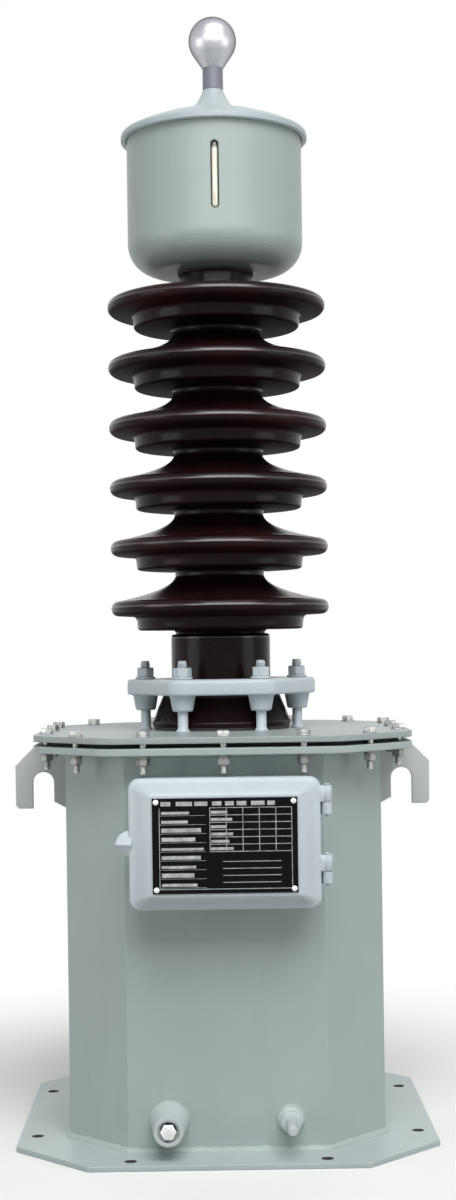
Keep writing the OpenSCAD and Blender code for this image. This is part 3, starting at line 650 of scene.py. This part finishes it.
# Welds: rippled fillets where the tank meets its base plate and flange, and along hooks and bosses.
def welds():
    step, bead_step, bead_facets, boss_facets, sink = 4, 3, 8, 40, 0.5
    tank = cut_square(TANK_HALF, TANK_CUT)
    sides = zip(tank, tank[1:] + tank[:1])
    counts = [max(2, round((Vector(b) - Vector(a)).length / step)) for a, b in sides]
    boss_section = [(-1, 2.4), (0, 2.4), (0.9, 1.4), (2, 0), (2, -sink), (-1, -sink)]
    mesh = Mesh()

    def walk(half, cut):
        """Points along a cut square, equally many for every size."""
        corners = cut_square(half, cut)
        points = []
        for a, b, n in zip(corners, corners[1:] + corners[:1], counts):
            points += [Vector(a).lerp(Vector(b), k / n) for k in range(n)]
        return points

    def fillet(leg, z, up):
        """A fillet round the tank at height z, rising where up is 1 and hanging where it is -1."""
        section = [(-sink, leg), (0, leg), (0.36 * leg, 0.62 * leg), (0.66 * leg, 0.32 * leg),
                   (leg, 0), (leg, -sink), (-sink, -sink)]
        ripple = [rng.uniform(0.82, 1.12) for i in range(sum(counts))]
        rings = []
        for out, rise in section:
            path = walk(TANK_HALF + out, TANK_CUT + out * (2 - math.sqrt(2)))
            rings.append([(p.x, p.y, z + up * rise * (k if rise > 0 else 1)) for p, k in zip(path, ripple)])
        mesh.loft(rings, loop=True)

    def seam(x, y, z0, z1, r):
        """An upright bead of weld, thinner at its ends."""
        count = round((z1 - z0) / bead_step)
        rings = []
        for k in range(count + 1):
            w = r * rng.uniform(0.85, 1.1) * (0.5 if k in (0, count) else 1)
            z = z0 + (z1 - z0) * k / count
            rings.append([(x + w * math.cos(a), y + w * math.sin(a), z) for a in circle(bead_facets)])
        mesh.loft(rings)

    fillet(5, BASE_TOP, 1)
    fillet(4.5, FLANGE_LOW, -1)
    for side, hook in ((-1, "left_lifting_hook"), (1, "right_lifting_hook")):
        low, high = node_box(hook)
        for y in (low.y, high.y):
            seam(side * TANK_HALF, y, low.z + 8, high.z - 4, 3)
    for boss in ("drain_boss", "earth_boss"):
        low, high = node_box(boss)
        middle = node_middle(boss)
        root = (high.x - low.x) / 2
        ripple = [rng.uniform(0.85, 1.1) for i in range(boss_facets)]
        rings = []
        for out, rise in boss_section:
            around = zip([root + out * k for k in ripple], circle(boss_facets))
            rings.append([(r * math.cos(a), r * math.sin(a), rise) for r, a in around])
        mesh.loft(rings, forward(middle.x, -TANK_HALF, middle.z), loop=True)
    mesh.piece("welds", "frame", "grey_paint", m_paint, sharp=60)


# Fittings low on the tank: the bright drain plug, and the painted earth stud with its nut, whose paint is a
# lighter copy of the grey paint as painted light.
def fittings():
    plug_r, collar_r, plug_flats, head_h = 8, 10, 16, 7.5
    low, high = node_box("drain_plug")
    middle = node_middle("drain_plug")
    length = high.y - low.y
    plug = [(plug_r, 0), (plug_r, length - 8.5), (collar_r - 0.4, length - 8.5), (collar_r, length - 8),
            (collar_r, length - 7.4), (collar_r - 0.6, length - 7)]
    mesh = Mesh()
    mesh.lathe(plug, forward(middle.x, high.y, middle.z))
    mesh.hexagon(plug_flats, head_h, forward(middle.x, low.y + head_h, middle.z))
    mesh.piece("drain_plug_turned", "frame", "zinc", m_bright, replaces=["drain_plug"])

    stud_d, washer_r, washer_t, nut_flats, nut_turn = 12, 12.5, 2.4, 22, 12
    low, high = node_box("earth_nut")
    middle = node_middle("earth_nut")
    tip = node_box("earth_stud")[0].y
    washer = [(washer_r - 0.5, 0), (washer_r, 0.4), (washer_r, washer_t - 0.4), (washer_r - 0.5, washer_t)]
    nut = forward(middle.x, high.y - washer_t, middle.z) @ turned(nut_turn, "Z")
    mesh = Mesh()
    mesh.lathe(washer, forward(middle.x, high.y, middle.z))
    mesh.hexagon(nut_flats, high.y - low.y - washer_t, nut)
    mesh.piece("earth_nut_turned", "frame", "zinc", m_fitting_lit_copy, replaces=["earth_nut"])
    mesh = Mesh()
    mesh.thread(stud_d, low.y - tip + 1, M12_PITCH, forward(middle.x, low.y + 1, middle.z))
    mesh.piece("earth_stud_turned", "frame", "zinc", m_fitting_lit_copy, replaces=["earth_stud"])


# Mounting holes: a thin sleeve of dark metal on each hole's wall in the base plate, painted shade that darkens the
# hole.
def mounting_hole_shade():
    pitch, inset, hole_r, end_gap = 216, 20, 7, 0.3
    edge = node_box("base_plate")[1].x - inset
    wall_r, lining_r = hole_r - 0.05, hole_r - 0.25
    low, high = end_gap, BASE_TOP - end_gap
    wall = [(wall_r, low), (wall_r, high), (lining_r, high), (lining_r, low)]
    mesh = Mesh()
    for turn in range(4):
        for x in (-pitch / 2, pitch / 2):
            mesh.lathe(wall, turned(90 * turn, "Z") @ at(x, -edge, 0), loop=True)
    mesh.piece("mounting_hole_shade_sleeves", "frame", "grey_paint", m_hole_shade)


# Terminal box lid: a casting with a soft bevel, a hollow back, a wedge-shaped latch ear and two knuckles.
def box_lid():
    w, h, r, edge, rise, panel_w, panel_h = 209.5, 144, 12, 8, 17, 161, 108
    ear_h, ear_out, ear_root, ear_sections = 32, 15, 3, 8
    knuckle_r, pin_r, knuckle_h = 5.5, 2.55, 18
    middle = node_middle("lid_seal").z
    back = node_box("lid_seal")[0].y
    face = back - edge
    panel = face - rise
    hinge = Vector(frame["joints"][0]["pos_m"]) / MM

    def ring(ring_w, ring_h, ring_r, y):
        return [(x, y, middle + z) for x, z in rounded_rectangle(ring_w, ring_h, ring_r)]

    def grown(inset, y):
        """The lid's outline drawn in by inset."""
        return ring(w - 2 * inset, h - 2 * inset, r - 0.6 * inset, y)

    # Each step of the bevel: its share of the way in from the rim to the panel, and its rise.
    slope = [(0.03, 0.2), (0.1, 0.85), (0.35, 6), (0.7, 13.5), (0.92, 16.4), (0.98, 16.9)]
    start_w, start_h = w - 6, h - 6
    fall_w, fall_h = start_w - panel_w, start_h - panel_h
    hollow = [ring(panel_w - 12, panel_h - 12, 4, panel + 4), ring(panel_w - 12, panel_h - 12, 4, back - 2),
              ring(panel_w - 8, panel_h - 8, 5, back)]
    rim = [grown(1.5, back), grown(0.3, back - 0.5), grown(0, back - 1.5), grown(0, face + 4),
           grown(0.5, face + 2), grown(1.5, face + 0.7), grown(3, face)]
    bevel = [ring(start_w - k * fall_w, start_h - k * fall_h, 10 - 7.8 * k, face - y) for k, y in slope]
    mesh = Mesh()
    mesh.loft(hollow + rim + bevel + [ring(panel_w - 1.2, panel_h - 1.2, 2, panel)])

    knuckle = [(pin_r, 0), (knuckle_r - 0.4, 0), (knuckle_r, 0.4), (knuckle_r, knuckle_h - 0.6),
               (knuckle_r - 0.6, knuckle_h), (pin_r, knuckle_h)]
    for pin in HINGE_PINS:
        top = node_box(pin)[1].z
        low = top - knuckle_h
        mesh.lathe(knuckle, at(hinge.x, hinge.y, low), loop=True)
        mesh.block((w / 2 - 4, hinge.y - knuckle_r, low), (hinge.x - pin_r - 0.6, hinge.y - 0.6, top), 0.6)

    ear = []
    for k in range(ear_sections + 1):
        u = k / ear_sections
        x = -w / 2 + ear_root - u * (ear_out + ear_root)
        top = 0.8 + (ear_h / 2 - 0.8) * math.sqrt(1 - u ** 1.6)
        bottom = 3 + (ear_h / 2 - 3) * (1 - u)
        ridge = face - 3 + 3.5 * u
        section = [(back - 0.3, top), (face + 5, top), (ridge + 0.5, 1.2), (ridge, 0.3), (ridge + 0.6, -0.6),
                   (face + 4.5, -bottom), (back - 0.3, -bottom)]
        ear.append([(x, y, middle + z) for y, z in section])
    mesh.loft(ear)
    mesh.piece("box_lid_cast", "lid", "grey_paint", m_cast, sharp=50, replaces=["box_lid"])


# Latch screw: a painted shank behind the ear, with a collar where it leaves it.
def latch_screw():
    shank_r, collar_r = 3, 4.4
    middle = node_middle("latch_screw")
    tip = node_box("latch_screw")[1].y
    ear = tip - node_box("lid_seal")[0].y
    screw = [(shank_r - 0.6, 0), (shank_r, 0.8), (shank_r, ear - 1.5),
             (collar_r, ear - 1.2), (collar_r, ear + 1.5)]
    mesh = Mesh()
    mesh.lathe(screw, forward(middle.x, tip, middle.z))
    mesh.piece("latch_screw_turned", "lid", "zinc", m_cast, replaces=["latch_screw"])


# Nameplate: a border, blank ruled fields and four rivets on the black plate.
def nameplate():
    line, thick, fields, rows, columns, rules, rivet_inset = 0.7, 0.12, 9, 6, 5, 4, 4.2
    low, high = node_box("nameplate")
    face = low.y
    left, right, bottom, top = low.x + 7.5, high.x - 6, low.z + 4.5, high.z - 11
    split = left + 0.38 * (right - left)
    table_low = bottom + 0.46 * (top - bottom)
    mesh = Mesh()

    def bar(x0, x1, z0, z1):
        mesh.block((x0, face - thick, z0), (x1, face + 0.05, z1), 0.03)

    for x in (left, right - line):
        bar(x, x + line, bottom, top)
    bar(left, right, bottom, bottom + line)
    for k in range(fields):
        z = bottom + (k + 0.35) * (top - bottom) / fields
        length = rng.uniform(0.6, 0.98) * (split - left - 8)
        bar(left + 2.5, left + 2.5 + length, z, z + rng.uniform(2.4, 4.6))
        bar(left, split - 4, z - 1.6, z - 1.6 + 0.5 * line)
    for k in range(rows + 1):
        z = table_low + k * (top - table_low) / rows
        bar(split, right, z, z + line)
        if k < rows:
            bar(split + 1.5, split + rng.uniform(14, 26), z + 2, z + 5)
    for k in range(columns):
        x = split + k * (right - split) / columns
        bar(x, x + line, table_low, top)
    for k in range(rules):
        z = bottom + 7 + 7.5 * k
        bar(split + 14, right - 12, z, z + line)
    start = left + 2
    while start < right - 16:
        length = rng.uniform(8, 18)
        bar(start, start + length, high.z - 8.4, high.z - 3.8)
        start += length + rng.uniform(2, 7)
    mesh.piece("nameplate_rules", "lid", "plate", m_print)

    rivet = [(3.1, 0), (3.1, 0.5), (2.6, 1.1), (1.6, 1.5), (0.5, 1.6)]
    mesh = Mesh()
    for x in (low.x + rivet_inset, high.x - rivet_inset):
        for z in (low.z + rivet_inset, high.z - rivet_inset):
            mesh.lathe(rivet, forward(x, face, z), steps=20)
    mesh.piece("nameplate_rivets", "lid", "zinc", m_bright)


# Oil gauge: a domed cream strip in a dark seal, set into the pot's slot.
def oil_gauge():
    low, high = node_box("gauge_glass")
    w, h, seal, fit = high.x - low.x, high.z - low.z, 1.5, 0.05
    middle = node_middle("gauge_glass").z

    def ring(inset, y):
        """The slot's outline drawn in by inset."""
        outline = rounded_rectangle(w - 2 * inset, h - 2 * inset, w / 2 - inset - 0.01, 8)
        return [(x, y, middle + z) for x, z in outline]

    mesh = Mesh()
    mesh.loft([ring(fit, high.y), ring(fit, low.y), ring(seal, low.y + 0.6), ring(seal, high.y)], loop=True)
    mesh.piece("gauge_seal", "frame", "rubber", m_rubber)
    dome = [ring(seal, low.y + 1), ring(seal + 0.6, low.y + 0.4), ring(seal + 1.5, low.y)]
    mesh = Mesh()
    mesh.loft([ring(seal, high.y)] + dome)
    mesh.piece("gauge_strip", "frame", "gauge", m_gauge, replaces=["gauge_glass"])


# Terminal nuts: a washer and a nut on each of the six studs of the board in the box.
def terminal_nuts():
    pitch_x, pitch_z, collar_l, washer_r, washer_t, flats, nut_h = 46, 36, 6, 8, 1.6, 13, 6.5
    middle = node_middle("terminal_studs")
    collar = node_box("terminal_board")[0].y - collar_l
    mesh = Mesh()
    for column in (-1, 0, 1):
        for row in (-0.5, 0.5):
            x, z = middle.x + column * pitch_x, middle.z + row * pitch_z
            nut = forward(x, collar - washer_t, z) @ Matrix.Rotation(rng.uniform(0, 1), 4, "Z")
            mesh.lathe(washer_profile(washer_r, washer_t), forward(x, collar, z))
            mesh.hexagon(flats, nut_h, nut)
    mesh.piece("terminal_nuts", "frame", "brass", m_brass)


# Hinge pins: a rounded head above and a peened end below each knuckle pair.
def hinge_pins():
    pin_r, head_r = 2.5, 3.4
    for name in HINGE_PINS:
        low, high = node_box(name)
        middle = node_middle(name)
        end = [(1.6, low.z - 2.5), (pin_r, low.z - 1.8), (pin_r, high.z + 0.5)]
        head = [(head_r, high.z + 0.6), (head_r - 0.2, high.z + 1.4), (1.8, high.z + 2.1)]
        mesh = Mesh()
        mesh.lathe(end + head, at(middle.x, middle.y, 0), steps=24)
        mesh.piece(name + "_peened", "frame", "zinc", m_cast, replaces=[name])


porcelain()
clamp_ring()
clamp_studs()
cover_bolts()
welds()
fittings()
mounting_hole_shade()
box_lid()
latch_screw()
nameplate()
oil_gauge()
terminal_nuts()
hinge_pins()


# Floor and world: a pale floor that fades to white, and a white surround that lights only softly.
FLOOR_HALF = 40
FLOOR_SEEN = srgb(246, 246, 244)
FLOOR_LIGHT = srgb(172, 172, 170)
FADE_START = 0.26
FADE_END = 0.95
WORLD_SEEN = 1.0
WORLD_LIGHT = 0.07


def seen_rays(tree):
    """1 on rays from the camera, in reflections and through clear pieces, 0 on rays that only light."""
    path = tree.nodes.new("ShaderNodeLightPath")
    value = path.outputs["Is Camera Ray"]
    for ray in ("Is Glossy Ray", "Is Transmission Ray"):
        either = tree.nodes.new("ShaderNodeMath")
        either.operation = "MAXIMUM"
        tree.links.new(value, either.inputs[0])
        tree.links.new(path.outputs[ray], either.inputs[1])
        value = either.outputs["Value"]
    return value


corners = [(-FLOOR_HALF, -FLOOR_HALF, 0), (FLOOR_HALF, -FLOOR_HALF, 0),
           (FLOOR_HALF, FLOOR_HALF, 0), (-FLOOR_HALF, FLOOR_HALF, 0)]
floor_data = bpy.data.meshes.new("floor")
floor_data.from_pydata(corners, [], [(0, 1, 2, 3)])
floor = bpy.data.objects.new("floor", floor_data)
scene.collection.objects.link(floor)
ground = Shader("floor")
seen = seen_rays(ground.tree)
ground.set(colour=ground.mix(seen, FLOOR_LIGHT, FLOOR_SEEN), rough=0.9)
distance = ground.nodes.new("ShaderNodeVectorMath")
distance.operation = "LENGTH"
ground.link(ground.coords, distance.inputs[0])
far = ground.span(distance.outputs["Value"], FADE_START, FADE_END, smooth=True)
glow = ground.nodes.new("ShaderNodeEmission")
both = ground.nodes.new("ShaderNodeMixShader")
ground.link(ground.math("MULTIPLY", seen, far), both.inputs[0])
ground.link(ground.bsdf.outputs[0], both.inputs[1])
ground.link(glow.outputs[0], both.inputs[2])
ground.link(both.outputs[0], ground.nodes["Material Output"].inputs["Surface"])
floor_data.materials.append(ground.mat)

world = bpy.data.worlds.new("world")
scene.world = world
world.use_nodes = True
sky = world.node_tree
background = sky.nodes["Background"]
background.inputs["Color"].default_value = (1, 1, 1, 1)
strength = sky.nodes.new("ShaderNodeMapRange")
strength.inputs["To Min"].default_value = WORLD_LIGHT
strength.inputs["To Max"].default_value = WORLD_SEEN
sky.links.new(seen_rays(sky), strength.inputs["Value"])
sky.links.new(strength.outputs["Result"], background.inputs["Strength"])
